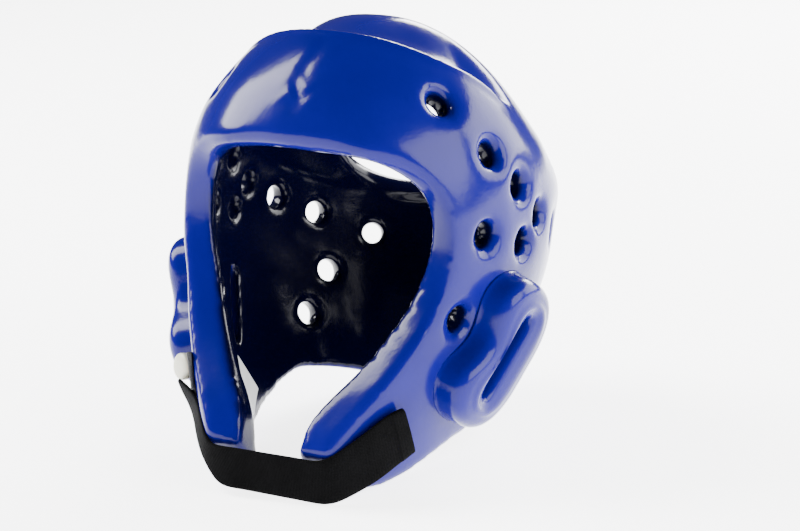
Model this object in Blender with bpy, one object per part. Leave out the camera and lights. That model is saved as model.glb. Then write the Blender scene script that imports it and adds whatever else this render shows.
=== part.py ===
"""Taekwondo sparring headgear: a shell of dipped foam, two ear pads and a chin strap.

The headgear's own frame has x to the wearer's left, y from the brow back and z up from
the brow edge. Everything is modelled there, and one parent tips it back onto the surface,
where it lies on the strap under the chin and on the lower rim at the back of the neck.
"""

import bmesh
import bpy
import numpy as np
from mathutils import Matrix

# Shell, in metres
HALF_WIDTH = 0.1015
FRONT_REACH = 0.122
BACK_REACH = 0.117
JAW_DROP = 0.200
EQUATOR_DROP = 0.015
WALL = 0.017
COLUMNS = 48

# Crown opening: its crest is where the dome ends
CREST_FRONT_SETBACK = 0.096
CREST_FRONT_RISE = 0.0765
CREST_BACK_INSET = 0.009
CREST_BACK_DROP = 0.010
CREST_HALF_WIDTH = 0.0715
CREST_SIDE_DROOP = 0.0095
CREST_ROUND = 0.005

# Step behind the forehead band
BAND_STEP = 0.009

# Face opening
FACE_HALF_WIDTH = 0.084
FACE_EDGE_HALF_WIDTH = 0.067
LIP_SETBACK = 0.055
FACE_REFINE = 2

# Vents and ear openings
VENT_RADIUS = 0.0072
VENT_SIDES = 10
EAR_VENT_RADIUS = 0.0075
SLOT_LENGTH = 0.050
SLOT_WIDTH = 0.010
SLOT_SIDES = 16

# Ear pads
PAD_HEIGHT = 0.088
PAD_WIDTH = 0.066
PAD_RISE = 0.017
PAD_ROUND = 0.006
PAD_DROP = 0.100
PAD_TURN = 81.0
PAD_LEAN = 16.0
PAD_FRONT_WAIST = 0.014
PAD_BACK_WAIST = 0.002
PAD_WAIST_REACH = 0.019
PAD_SQUARENESS = 0.85
PAD_COLUMNS = 36

# Strap, its fastener and its fixed end
STRAP_THICKNESS = 0.0022
STRIP_THICKNESS = 0.0015
TAB_THICKNESS = 0.0030
STRAP_BOW = 0.0015
STRAP_CLEARANCE = 0.0012
CURL_LIFT = 0.004
RIVET_RADIUS = 0.0075
RIVET_RISE = 0.0035
RIVET_TURN = -53.0
RIVET_CLEARANCE = 0.0021
RIVET_SIDES = 16
LABEL_THICKNESS = 0.0006

# Air between neighbours, and how far cutters run past what they cut
GAP = 0.0003
CUTTER_MARGIN = 0.002
CUTTER_REACH = 0.060

# Halvings in a search, and how far below a row of the dome its normal is taken
HALVINGS = 40
NORMAL_BELOW = 0.01

# Lower sections: drop, half width, front reach and back reach, as shares of the sizes above,
# then how many walls thick the foam is at the side and at the front
SECTIONS = np.array([
    (0.075, 0.995, 0.989, 1.000, 1.00, 1.10),
    (0.185, 1.000, 0.989, 0.990, 1.00, 1.20),
    (0.290, 0.980, 0.957, 0.965, 1.00, 1.40),
    (0.410, 0.920, 0.931, 0.930, 1.00, 1.50),
    (0.530, 0.845, 0.955, 0.900, 1.05, 1.60),
    (0.635, 0.785, 0.943, 0.885, 1.15, 1.70),
    (0.745, 0.719, 0.898, 0.880, 1.30, 1.80),
    (0.850, 0.650, 0.891, 0.870, 1.40, 1.80),
    (1.000, 0.545, 0.775, 0.850, 1.40, 1.80),
])

# How square a section is, in front of the head's axis and behind it
FRONT_POWER = 2.2
BACK_POWER = 1.88
CREST_BACK_POWER = 2.6

# Dome: turns from the front and how full its arc is there, and how steeply the rim faces up
# at the front, side and back
DOME_POWER = ((0.0, 60.0, 85.0, 115.0, 180.0), (2.1, 1.95, 2.0, 3.0, 2.3))
RIM_TILT = (72.0, 42.0, 20.0)
DOME_STEPS = np.array([0.15, 0.31, 0.46, 0.565, 0.60, 0.73, 0.87, 1.0])
VALLEY = ((0.565, 0.60, 0.80, 1.0), (0.0, 1.0, 0.75, 0.0))
STEP_FADE_START = 45.0
STEP_FADE_END = 78.0

# Face outline: outer height and half width, edge height and half width, edge setback.
# Heights are shares of JAW_DROP, widths of the two half widths, setbacks of LIP_SETBACK.
FACE_ROWS = np.array([
    (0.000, 0.000, -0.049, 0.000, 0.10),
    (-0.001, 0.420, -0.051, 0.490, 0.16),
    (-0.020, 0.690, -0.057, 0.735, 0.24),
    (-0.073, 0.857, -0.093, 0.915, 0.67),
    (-0.120, 0.950, -0.140, 0.978, 0.84),
    (-0.200, 1.000, -0.200, 1.007, 0.93),
    (-0.290, 1.000, -0.290, 1.000, 1.00),
    (-0.410, 0.940, -0.395, 0.890, 1.06),
    (-0.530, 0.833, -0.515, 0.746, 0.95),
    (-0.635, 0.726, -0.640, 0.537, 0.75),
    (-0.745, 0.571, -0.730, 0.328, 0.61),
    (-0.850, 0.381, -0.810, 0.254, 0.53),
    (-1.060, 0.357, -1.060, 0.239, 0.53),
])

# Lower rim from the side: distance back from the brow as a share of the whole depth,
# and height as a share of JAW_DROP
RIM_ROWS = (
    (-0.10, -0.800),
    (0.10, -0.835),
    (0.21, -0.920),
    (0.315, -0.888),
    (0.40, -0.815),
    (0.47, -0.765),
    (0.54, -0.722),
    (0.61, -0.678),
    (0.70, -0.635),
    (0.87, -0.632),
    (0.945, -0.660),
    (1.10, -0.700),
)

# Vents on each side: turn from the front in degrees, and rise; a rise below 0 is a share
# of JAW_DROP, one above 0 a share of the dome's arc
VENT_ROWS = (
    (42.5, 0.360),
    (64.0, 0.194),
    (78.5, 0.052),
    (90.0, -0.118),
    (108.5, -0.145),
    (126.5, -0.174),
    (149.0, -0.214),
    (67.0, -0.208),
    (84.0, -0.206),
    (133.5, -0.352),
    (124.0, -0.493),
)
EAR_VENT = (66.0, -0.443)

# Strap from the right cheek to the left: turn and drop of its upper and lower edge
STRAP_ROWS = np.array([
    (-48.0, -0.690, -66.0, -0.755),
    (-46.0, -0.725, -60.0, -0.800),
    (-42.0, -0.765, -49.0, -0.850),
    (-36.0, -0.812, -35.0, -0.902),
    (-29.0, -0.857, -22.0, -0.958),
    (29.0, -0.857, 35.0, -0.967),
    (36.0, -0.815, 43.0, -0.940),
    (43.0, -0.750, 52.0, -0.885),
    (49.0, -0.700, 59.0, -0.835),
    (54.0, -0.680, 65.0, -0.790),
])
CHIN_STATIONS = 5
TAB_OVERLAP_ROWS = 2
FASTENER_ROWS = 3
STRIP_REFINE = 2
STRIP_ACROSS = 7

# Tab under the strap's fixed end, in the same columns
TAB_ROWS = (
    (-45.0, -0.622, -62.0, -0.628),
    (-46.0, -0.670, -66.0, -0.695),
    (-45.0, -0.720, -61.0, -0.765),
)

# Label inside the right cheek, in the same columns
LABEL_ROWS = (
    (-66.0, -0.620, -82.0, -0.710),
    (-60.0, -0.780, -75.0, -0.822),
)

# Cap over the rivet: radius and height of each ring, as shares of its own
CAP_RINGS = ((1.0, 0.0), (1.0, 0.45), (0.85, 0.8), (0.45, 1.0))

COLOURS = {
    "blue": (0.006, 0.024, 0.33, 1.0),
    "black": (0.005, 0.005, 0.006, 1.0),
    "grey": (0.06, 0.06, 0.065, 1.0),
    "cream": (0.72, 0.70, 0.60, 1.0),
    "label": (0.55, 0.56, 0.55, 1.0),
}


def clear_scene():
    """Remove every object that the scene starts with."""
    for item in list(bpy.data.objects):
        bpy.data.objects.remove(item, do_unlink=True)


def material(name, colour, roughness):
    """A plain Principled material."""
    made = bpy.data.materials.new(name)
    made.use_nodes = True
    shader = made.node_tree.nodes["Principled BSDF"]
    shader.inputs["Base Color"].default_value = COLOURS[colour]
    shader.inputs["Roughness"].default_value = roughness
    made.diffuse_color = COLOURS[colour]
    return made


def add_object(name, points, faces, look=None):
    """A mesh object from points and faces, with its faces pointing out."""
    mesh = bpy.data.meshes.new(name)
    mesh.from_pydata([tuple(p) for p in points], [], faces)
    model = bmesh.new()
    model.from_mesh(mesh)
    bmesh.ops.recalc_face_normals(model, faces=model.faces)
    model.to_mesh(mesh)
    model.free()
    item = bpy.data.objects.new(name, mesh)
    bpy.context.collection.objects.link(item)
    if look is not None:
        mesh.materials.append(look)
        mesh.shade_smooth()
    return item


def signed_power(value, power):
    """A power that keeps the sign."""
    return np.sign(value) * np.abs(value) ** power


def smooth_rows(rows, refine):
    """A table with more rows, along a Catmull-Rom curve through its own rows."""
    rows = np.asarray(rows, float)
    padded = np.concatenate([2 * rows[:1] - rows[1:2], rows, 2 * rows[-1:] - rows[-2:-1]])
    share = np.linspace(0, 1, refine, endpoint=False)[None, :, None]
    before, start, end, after = (padded[i:i + len(rows) - 1, None] for i in range(4))
    curve = start + 0.5 * share * (end - before + share * (
        2 * before - 5 * start + 4 * end - after + share * (3 * (start - end) + after - before)))
    return np.concatenate([curve.reshape(-1, rows.shape[1]), rows[-1:]])


def section_sizes(height, walls=0.0, lift=0.0):
    """Half width, front reach and back reach of a section, so many walls in, less a lift."""
    drop = -np.asarray(height, float) / JAW_DROP
    width, front, back, side_foam, front_foam = (
        np.interp(drop, SECTIONS[:, 0], column) for column in SECTIONS[:, 1:].T)
    depth = walls * WALL
    return (HALF_WIDTH * width - depth * side_foam - lift,
            FRONT_REACH * front - depth * front_foam - lift,
            BACK_REACH * back - depth - lift)


def section_point(turn, height, walls=0.0, lift=0.0):
    """Point of a lower section, at a turn in radians from the front."""
    width, front, back = section_sizes(height, walls, lift)
    ahead = np.cos(turn)
    power = 2.0 / np.where(ahead > 0, FRONT_POWER, BACK_POWER)
    x = width * signed_power(np.sin(turn), power)
    y = FRONT_REACH - np.where(ahead > 0, front, back) * signed_power(ahead, power)
    return np.stack(np.broadcast_arrays(x, y, height), -1)


def blend(turn, values):
    """Blend three values set at the front, the side and the back."""
    front, side, back = values
    ahead = np.cos(turn)
    other = np.where(ahead > 0, front, back)
    return side + (other - side) * ahead ** 2


def crest_point(turn):
    """Outer edge of the crown opening."""
    power = 2.0 / np.where(np.cos(turn) > 0, FRONT_POWER, CREST_BACK_POWER)
    share = 0.5 - 0.5 * signed_power(np.cos(turn), power)
    side = signed_power(np.sin(turn), power)
    back = FRONT_REACH + BACK_REACH - CREST_BACK_INSET
    y = CREST_FRONT_SETBACK + (back - CREST_FRONT_SETBACK) * share
    z = CREST_FRONT_RISE - (CREST_FRONT_RISE + CREST_BACK_DROP) * share
    return np.stack([CREST_HALF_WIDTH * side, y, z - CREST_SIDE_DROOP * side ** 2], -1)


def crest_axes(turn):
    """Directions across the wall and out of the rim, along the crest."""
    step = 1e-4
    along = crest_point(turn + step) - crest_point(turn - step)
    flat = np.stack([along[..., 1], -along[..., 0], 0 * turn], -1)
    flat /= np.linalg.norm(flat, axis=-1, keepdims=True)
    tilt = np.radians(blend(turn, RIM_TILT))[..., None]
    up = np.array([0.0, 0.0, 1.0])
    across = flat * np.cos(tilt) + up * np.sin(tilt)
    out = up * np.cos(tilt) - flat * np.sin(tilt)
    return across, out


def dome_point(turn, share, walls=0.0):
    """Point of the dome between the equator at share 0 and the crest at share 1."""
    low = section_point(turn, -EQUATOR_DROP + 0 * turn, walls)
    across, out = crest_axes(turn)
    high = crest_point(turn) - walls * WALL * across
    power = (2.0 / np.interp(np.degrees(np.abs(turn)), *DOME_POWER))[..., None]
    arc = np.clip(np.asarray(share) * np.pi / 2, 1e-9, np.pi / 2 - 1e-9)[..., None]
    mix = np.concatenate([np.cos(arc) ** power] * 2 + [1 - np.sin(arc) ** power], -1)
    return high + (low - high) * mix


def outer_point(turn, rise):
    """Point of the smooth outer surface, without the step behind the band."""
    turn = np.asarray(turn, float)
    rise = np.asarray(rise, float) + 0 * turn
    lower = section_point(turn, JAW_DROP * np.minimum(rise, -EQUATOR_DROP / JAW_DROP))
    return np.where((rise > 0)[..., None], dome_point(turn, np.maximum(rise, 0)), lower)


def outer_normal(turn, rise):
    """Outward unit normal of the outer surface."""
    step = 1e-3
    along = outer_point(turn + step, rise) - outer_point(turn - step, rise)
    up = outer_point(turn, rise + step) - outer_point(turn, rise - step)
    normal = np.cross(along, up)
    return normal / np.linalg.norm(normal, axis=-1, keepdims=True)


def on_shell(turn_degrees, rise, lift):
    """Point at a lift above the outer surface."""
    turn = np.radians(np.asarray(turn_degrees, float))
    rise = np.asarray(rise, float)
    return outer_point(turn, rise) + outer_normal(turn, rise) * np.asarray(lift)[..., None]


def band_step(turn, share):
    """Depth of the valley between the forehead band's top edge and the crest."""
    degrees = np.degrees(np.abs(turn))
    fade = np.clip((STEP_FADE_END - degrees) / (STEP_FADE_END - STEP_FADE_START), 0, 1)
    return BAND_STEP * fade * np.interp(share, *VALLEY)


def grid_faces(rows, columns, close_rows):
    """Quads of a grid that closes on itself across its columns, and its rows if asked."""
    faces = []
    for r in range(rows if close_rows else rows - 1):
        for c in range(columns):
            a = r * columns + c
            b = r * columns + (c + 1) % columns
            up = ((r + 1) % rows) * columns
            faces.append((a, b, up + (c + 1) % columns, up + c))
    return faces


def shell_blank():
    """Closed body of the shell before its openings: out, over the rim and back down inside."""
    turn = np.linspace(-np.pi, np.pi, COLUMNS, endpoint=False)
    rows = [section_point(turn, -JAW_DROP * d) for d in SECTIONS[::-1, 0]]
    for share in DOME_STEPS:
        point = dome_point(turn, share + 0 * turn)
        depth = band_step(turn, share)[:, None]
        rows.append(point - depth * outer_normal(turn, np.full(COLUMNS, share - NORMAL_BELOW)))
    across, out = crest_axes(turn)
    middle = crest_point(turn) - 0.5 * WALL * across
    for angle in np.radians((45.0, 90.0, 135.0)):
        rows.append(middle + 0.5 * WALL * np.cos(angle) * across + CREST_ROUND * np.sin(angle) * out)
    for share in DOME_STEPS[::-1]:
        rows.append(dome_point(turn, share + 0 * turn, 1.0))
    rows += [section_point(turn, -JAW_DROP * d, 1.0) for d in SECTIONS[:, 0]]
    return np.concatenate(rows), grid_faces(len(rows), COLUMNS, True)


def front_setback(half_width, height):
    """How far behind the brow the outer surface lies at a half width and height."""
    level = np.minimum(height, -EQUATOR_DROP)
    width, front, _ = section_sizes(level)
    share = np.clip(np.abs(half_width) / width, 0, 0.999)
    return FRONT_REACH - front * (1 - share ** FRONT_POWER) ** (1 / FRONT_POWER)


def face_cutter():
    """Cutter of the face opening: straight in, across the lip and on into the hollow."""
    rows = smooth_rows(FACE_ROWS, FACE_REFINE)
    outer_x = FACE_HALF_WIDTH * rows[:, 1]
    outer_z = JAW_DROP * rows[:, 0]
    edge_x = FACE_EDGE_HALF_WIDTH * rows[:, 3]
    edge_z = JAW_DROP * rows[:, 2]
    ahead = np.full(len(rows), -CUTTER_REACH)
    surface = front_setback(outer_x, outer_z) - CUTTER_MARGIN
    edge = LIP_SETBACK * rows[:, 4]
    inside = np.full(len(rows), LIP_SETBACK + 0.4 * FRONT_REACH)
    rings = ((outer_x, ahead, outer_z), (outer_x, surface, outer_z),
             (edge_x, edge, edge_z), (edge_x, inside, edge_z))
    points = []
    for x, y, z in rings:
        left = np.stack([x, y, z], -1)
        right = left[:0:-1] * (-1, 1, 1)
        points.append(np.concatenate([right, left]))
    count = len(points[0])
    faces = grid_faces(len(rings), count, False)
    faces.append(tuple(range(count)))
    faces.append(tuple(range((len(rings) - 1) * count, len(rings) * count)))
    return np.concatenate(points), faces


def rim_cutter():
    """Cutter below the lower rim, an outline from the side drawn across the whole width."""
    depth = FRONT_REACH + BACK_REACH
    outline = [(y * depth, z * JAW_DROP) for y, z in RIM_ROWS]
    low = -JAW_DROP - CUTTER_REACH
    outline += [(outline[-1][0], low), (outline[0][0], low)]
    reach = HALF_WIDTH + CUTTER_REACH
    points = [(x, y, z) for x in (-reach, reach) for y, z in outline]
    count = len(outline)
    faces = [(i, (i + 1) % count, count + (i + 1) % count, count + i) for i in range(count)]
    faces += [tuple(range(count)), tuple(range(count, 2 * count))]
    return np.array(points), faces


def bore(middle, axis, radius, depth_in, depth_out):
    """Points and faces of a round cutter along an axis."""
    axis = axis / np.linalg.norm(axis)
    side = np.cross(axis, (0.0, 0.0, 1.0))
    side /= np.linalg.norm(side)
    up = np.cross(side, axis)
    angle = np.linspace(0, 2 * np.pi, VENT_SIDES, endpoint=False)[:, None]
    ring = radius * (np.cos(angle) * side + np.sin(angle) * up)
    points = np.concatenate([middle - depth_in * axis + ring, middle + depth_out * axis + ring])
    faces = grid_faces(2, VENT_SIDES, False)
    faces += [tuple(range(VENT_SIDES)), tuple(range(VENT_SIDES, 2 * VENT_SIDES))]
    return points, faces


def join_bodies(bodies):
    """Put several separate bodies in one list of points and faces."""
    points, faces, start = [], [], 0
    for more, loops in bodies:
        points.append(more)
        faces += [tuple(start + i for i in loop) for loop in loops]
        start += len(more)
    return np.concatenate(points), faces


def vent_cutters():
    """Cutters of every vent, the same on both sides."""
    vents = [(turn, rise, VENT_RADIUS) for turn, rise in VENT_ROWS]
    vents.append((*EAR_VENT, EAR_VENT_RADIUS))
    bodies = []
    for turn, rise, radius in vents:
        for side in (-1, 1):
            middle = on_shell(side * turn, rise, 0.0)
            axis = outer_normal(np.radians(side * turn), rise)
            bodies.append(bore(middle, axis, radius, 1.6 * WALL, WALL))
    return join_bodies(bodies)


def pad_frame(side):
    """Middle of a pad on the shell, with its back, up and out directions."""
    turn = side * PAD_TURN
    middle = on_shell(turn, -PAD_DROP / JAW_DROP, 0.0)
    out = outer_normal(np.radians(turn), -PAD_DROP / JAW_DROP)
    up = np.array([0.0, 0.0, 1.0]) - out[2] * out
    up /= np.linalg.norm(up)
    back = np.cross(up, out) * side
    lean = np.radians(PAD_LEAN)
    up, back = up * np.cos(lean) + back * np.sin(lean), back * np.cos(lean) - up * np.sin(lean)
    return middle, back, up, out


def onto_shell(points, axis):
    """Slide points along an axis until they lie on the outer surface."""
    low = np.full(len(points), -PAD_RISE)
    high = np.full(len(points), PAD_HEIGHT)
    for _ in range(HALVINGS):
        half = 0.5 * (low + high)
        probe = points - half[:, None] * axis
        width, front, back = section_sizes(probe[:, 2])
        ahead = probe[:, 1] < FRONT_REACH
        power = np.where(ahead, FRONT_POWER, BACK_POWER)
        depth = np.abs(probe[:, 1] - FRONT_REACH) / np.where(ahead, front, back)
        inside = (np.abs(probe[:, 0]) / width) ** power + depth ** power < 1
        high = np.where(inside, half, high)
        low = np.where(inside, low, half)
    return points - low[:, None] * axis


def slot_outline(angle, grow):
    """Outline of the slot in a pad: back and up from its middle."""
    radius = 0.5 * SLOT_WIDTH + grow
    straight = 0.5 * (SLOT_LENGTH - SLOT_WIDTH)
    return radius * np.sin(angle), radius * np.cos(angle) + straight * np.tanh(3 * np.cos(angle))


def pad_outline(angle, inset):
    """Kidney outline of a pad, narrow at its waist: back and up from its middle."""
    up = (0.5 * PAD_HEIGHT - inset) * signed_power(np.cos(angle), PAD_SQUARENESS)
    back = (0.5 * PAD_WIDTH - inset) * signed_power(np.sin(angle), PAD_SQUARENESS)
    waist = np.exp(-(up / PAD_WAIST_REACH) ** 2)
    depth = np.where(back < 0, PAD_FRONT_WAIST, PAD_BACK_WAIST)
    return back - np.sign(back) * waist * depth, up


def ear_pad(name, side, look):
    """A foam block round its slot: up the slot's wall, over the face and down the side."""
    middle, back, up, out = pad_frame(side)
    angle = np.linspace(0, 2 * np.pi, PAD_COLUMNS, endpoint=False)
    slot = slot_outline(angle, 0.0)
    slot_edge = slot_outline(angle, 0.3 * PAD_ROUND)
    face_edge = pad_outline(angle, PAD_ROUND)
    shoulder = pad_outline(angle, 0.3 * PAD_ROUND)
    rim = pad_outline(angle, 0.0)
    halfway = [0.5 * (a + b) for a, b in zip(slot_edge, face_edge)]
    inner_half = [0.5 * (a + b) for a, b in zip(slot, rim)]
    stack = ((slot, None), (slot, PAD_RISE - 0.3 * PAD_ROUND), (slot_edge, PAD_RISE),
             (halfway, PAD_RISE), (face_edge, PAD_RISE), (shoulder, PAD_RISE - 0.3 * PAD_ROUND),
             (rim, PAD_RISE - PAD_ROUND), (rim, None), (inner_half, None))
    rows = []
    for (across, along), lift in stack:
        flat = middle + across[:, None] * back + along[:, None] * up
        if lift is None:
            rows.append(onto_shell(flat, out) + GAP * out)
        else:
            rows.append(flat + lift * out)
    return add_object(name, np.concatenate(rows), grid_faces(len(rows), PAD_COLUMNS, True), look)


def slot_cutter(side):
    """Cutter of the ear opening in the shell behind a pad's slot."""
    middle, back, up, out = pad_frame(side)
    angle = np.linspace(0, 2 * np.pi, SLOT_SIDES, endpoint=False)
    across, along = slot_outline(angle, 0.0)
    flat = middle + across[:, None] * back + along[:, None] * up
    points = np.concatenate([flat - 2 * WALL * out, flat + WALL * out])
    faces = grid_faces(2, SLOT_SIDES, False)
    faces += [tuple(range(SLOT_SIDES)), tuple(range(SLOT_SIDES, 2 * SLOT_SIDES))]
    return points, faces


def cut(target, name, points, faces):
    """Cut a hidden cutter out of a target with a Boolean modifier."""
    cutter = add_object(name, points, faces)
    cutter.hide_render = True
    cutter.display_type = "WIRE"
    modifier = target.modifiers.new(name, "BOOLEAN")
    modifier.operation = "DIFFERENCE"
    modifier.solver = "EXACT"
    modifier.object = cutter
    return cutter


def strip_grid(rows, trim=0):
    """Turn and rise grids of a strip whose rows give its edges, trimmed at three of them."""
    fine = smooth_rows(rows, STRIP_REFINE)
    fine = fine[:len(fine) - trim]
    share = np.linspace(0, 1, STRIP_ACROSS)[trim:STRIP_ACROSS - trim][None, :, None]
    mixed = fine[:, None, :2] * (1 - share) + fine[:, None, 2:] * share
    return mixed[..., 0], mixed[..., 1]


def ribbon_body(inner, outer):
    """Closed band between two grids of points, each with one row for a station."""
    stations, across = inner.shape[:2]
    faces = []
    for skin in (0, stations * across):
        for i in range(stations - 1):
            for j in range(across - 1):
                a = skin + i * across + j
                faces += [(a, a + 1, a + across + 1), (a, a + across + 1, a + across)]
    border = [i * across for i in range(stations)]
    border += [(stations - 1) * across + j for j in range(1, across)]
    border += [i * across + across - 1 for i in range(stations - 2, -1, -1)]
    border += [j for j in range(across - 2, 0, -1)]
    shift = stations * across
    for a, b in zip(border, border[1:] + border[:1]):
        faces.append((a, b, b + shift, a + shift))
    return np.concatenate([inner.reshape(-1, 3), outer.reshape(-1, 3)]), faces


def strap_lift(stations):
    """How far the strap's inner face lies above the shell at each station."""
    rows = len(STRAP_ROWS)
    lift = np.full(rows, STRAP_CLEARANCE)
    lift[:TAB_OVERLAP_ROWS] = TAB_THICKNESS + 2 * GAP
    lift[0] += CURL_LIFT
    lift[-FASTENER_ROWS:] = 2 * STRIP_THICKNESS + 3 * GAP
    return np.interp(np.linspace(0, rows - 1, stations), np.arange(rows), lift)[:, None]


def chin_strap(look):
    """The elastic band: along both cheeks on the shell, and straight across the chin gap."""
    sides = np.split(STRAP_ROWS, 2)
    turn, rise = zip(*[strip_grid(rows) for rows in sides])
    stations = STRIP_REFINE * (len(STRAP_ROWS) - 1) + 1
    split = len(turn[0])
    share = np.linspace(0, 1, CHIN_STATIONS + 2)[1:-1, None, None]
    bow = STRAP_BOW * 4 * share * (1 - share) * np.array([0.0, -1.0, 0.0])
    grids = []
    for extra in (0.0, STRAP_THICKNESS):
        lift = strap_lift(stations) + extra
        right = on_shell(turn[0], rise[0], lift[:split])
        left = on_shell(turn[1], rise[1], lift[-split:])
        bridge = right[-1] * (1 - share) + left[0] * share + bow
        grids.append(np.concatenate([right, bridge, left]))
    return add_object("chin_strap", *ribbon_body(*grids), look)


def strip(name, rows, low, thickness, look, trim=0):
    """A thin strip on the shell, between the edges that its rows give."""
    turn, rise = strip_grid(rows, trim)
    body = ribbon_body(on_shell(turn, rise, low), on_shell(turn, rise, low + thickness))
    return add_object(name, *body, look)


def rivet_rise():
    """Rise of the cap's middle, its radius and a clearance above the strap's end."""
    end = STRAP_ROWS[0]
    edge = np.interp(-RIVET_TURN, -end[::2], end[1::2])
    return edge + (RIVET_RADIUS + RIVET_CLEARANCE) / JAW_DROP


def strap_rivet(look):
    """A low domed cap on the tab."""
    middle = on_shell(RIVET_TURN, rivet_rise(), TAB_THICKNESS + 2 * GAP)
    out = outer_normal(np.radians(RIVET_TURN), rivet_rise())
    side = np.cross(out, (0.0, 0.0, 1.0))
    side /= np.linalg.norm(side)
    up = np.cross(side, out)
    angle = np.linspace(0, 2 * np.pi, RIVET_SIDES, endpoint=False)[:, None]
    round_edge = np.cos(angle) * side + np.sin(angle) * up
    rows = [middle + r * RIVET_RADIUS * round_edge + z * RIVET_RISE * out for r, z in CAP_RINGS]
    faces = grid_faces(len(rows), RIVET_SIDES, False)
    faces.append(tuple(range(RIVET_SIDES)))
    faces.append(tuple(range((len(rows) - 1) * RIVET_SIDES, len(rows) * RIVET_SIDES)))
    return add_object("strap_rivet", np.concatenate(rows), faces, look)


def inner_label(look):
    """A bare label on the inner face of the right cheek."""
    turn, rise = strip_grid(LABEL_ROWS)
    height = JAW_DROP * rise
    facet_sag = FRONT_REACH * (1 - np.cos(np.pi / COLUMNS))
    skins = [section_point(np.radians(turn), height, 1.0, GAP + facet_sag + lift)
             for lift in (0.0, LABEL_THICKNESS)]
    return add_object("inner_label", *ribbon_body(*skins), look)


def shell(look):
    """The foam shell with its face opening, lower rim, vents and ear openings cut."""
    body = add_object("shell", *shell_blank(), look)
    cutters = [
        cut(body, "cut_face", *face_cutter()),
        cut(body, "cut_rim", *rim_cutter()),
        cut(body, "cut_vents", *vent_cutters()),
        cut(body, "cut_ears", *join_bodies([slot_cutter(-1), slot_cutter(1)])),
    ]
    return [body] + cutters


def rest_pitch(points):
    """Angle that lays the lower hull's edge under the middle of the points level."""
    flat = points[:, 1:]
    low, high = -0.25 * np.pi, 0.25 * np.pi
    middle = flat[:, 0].mean()
    for _ in range(HALVINGS):
        pitch = 0.5 * (low + high)
        turned = np.array([[np.cos(pitch), np.sin(pitch)], [-np.sin(pitch), np.cos(pitch)]])
        lowest = flat[(flat @ turned.T)[:, 1].argmin()]
        if lowest[0] < middle:
            low = pitch
        else:
            high = pitch
    return pitch


def evaluated_points(items):
    """Corners of the finished meshes in the headgear's own frame."""
    graph = bpy.context.evaluated_depsgraph_get()
    clouds = []
    for item in items:
        mesh = item.evaluated_get(graph).to_mesh()
        flat = np.empty(3 * len(mesh.vertices))
        mesh.vertices.foreach_get("co", flat)
        clouds.append(flat.reshape(-1, 3))
    return np.concatenate(clouds)


def set_down(pieces, others):
    """Tip the headgear back until it rests, with the origin at the bottom middle of its box."""
    points = evaluated_points(pieces)
    turned = Matrix.Rotation(-rest_pitch(points), 4, "X")
    placed = points @ np.array(turned.to_3x3()).T
    low, high = placed.min(0), placed.max(0)
    holder = bpy.data.objects.new("rest_frame", None)
    bpy.context.collection.objects.link(holder)
    shift = (-0.5 * (low[0] + high[0]), -0.5 * (low[1] + high[1]), -low[2])
    holder.matrix_world = Matrix.Translation(shift) @ turned
    for item in pieces + others:
        item.parent = holder


def main():
    """Build every piece and set the headgear down."""
    clear_scene()
    blue = material("dipped_vinyl", "blue", 0.22)
    black = material("elastic", "black", 0.85)
    grey = material("tab_fabric", "grey", 0.95)
    body, *cutters = shell(blue)
    loop_top = STRIP_THICKNESS + 2 * GAP
    pieces = [
        body,
        ear_pad("ear_pad_left", 1, blue),
        ear_pad("ear_pad_right", -1, blue),
        chin_strap(black),
        strip("strap_tab", TAB_ROWS, GAP, TAB_THICKNESS, grey),
        strap_rivet(material("cap", "cream", 0.35)),
        strip("loop_strip", STRAP_ROWS[-FASTENER_ROWS:], GAP, STRIP_THICKNESS, black, 1),
        strip("hook_strip", STRAP_ROWS[-FASTENER_ROWS:], loop_top, STRIP_THICKNESS, black, 1),
        inner_label(material("label", "label", 0.6)),
    ]
    set_down(pieces, cutters)


main()
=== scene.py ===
# %% [markdown]
# # Sparring headgear in dipped foam
# The real object is one piece of soft foam, dipped in liquid vinyl until it wears a thick glossy
# skin. Two slotted ear pads are glued to it and a black elastic strap goes round the chin.
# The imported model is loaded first: everything here is made in its frame, in metres.

import bmesh
import bpy
import numpy as np
from mathutils import Matrix


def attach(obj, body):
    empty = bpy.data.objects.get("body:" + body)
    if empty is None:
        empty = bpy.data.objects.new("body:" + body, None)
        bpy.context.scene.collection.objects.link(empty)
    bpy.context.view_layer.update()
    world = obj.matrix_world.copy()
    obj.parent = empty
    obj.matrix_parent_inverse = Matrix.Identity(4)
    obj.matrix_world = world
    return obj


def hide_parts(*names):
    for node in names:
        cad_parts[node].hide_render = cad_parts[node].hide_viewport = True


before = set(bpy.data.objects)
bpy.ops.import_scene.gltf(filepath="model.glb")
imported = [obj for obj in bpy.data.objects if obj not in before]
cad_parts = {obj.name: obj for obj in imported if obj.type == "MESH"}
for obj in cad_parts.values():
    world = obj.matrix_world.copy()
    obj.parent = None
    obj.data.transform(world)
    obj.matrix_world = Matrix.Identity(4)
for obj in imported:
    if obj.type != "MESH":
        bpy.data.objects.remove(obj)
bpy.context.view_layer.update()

# %% [markdown]
# ## The headgear's own axes
# The headgear lies tipped back on its strap and the back of its neck. It is far easier to
# describe while it stands level, so every shape is worked out with x to the wearer's left,
# y from the brow back and z up from the brow edge, and one rotation lays it down at the end.

# %% From the headgear's axes to the floor's
REST_PITCH = np.radians(18.5840)
BROW_AT = np.array([0.0, -0.093236, 0.196826])


def tipping(angle):
    """Rotation matrix that tips the back down by an angle, about the axis across the head."""
    c, s = np.cos(angle), np.sin(angle)
    return np.array([[1.0, 0.0, 0.0], [0.0, c, s], [0.0, -s, c]])


def laid_down(points):
    """Points on the floor: turned by the rest pitch, then moved to where the brow rests."""
    return points @ tipping(REST_PITCH).T + BROW_AT


# %% [markdown]
# ## The camera
# A long lens from the front left of the wearer, a little above, as in the photograph. Its place
# was measured while the headgear was tipped by 18 degrees, so it turns by what is left.

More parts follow.
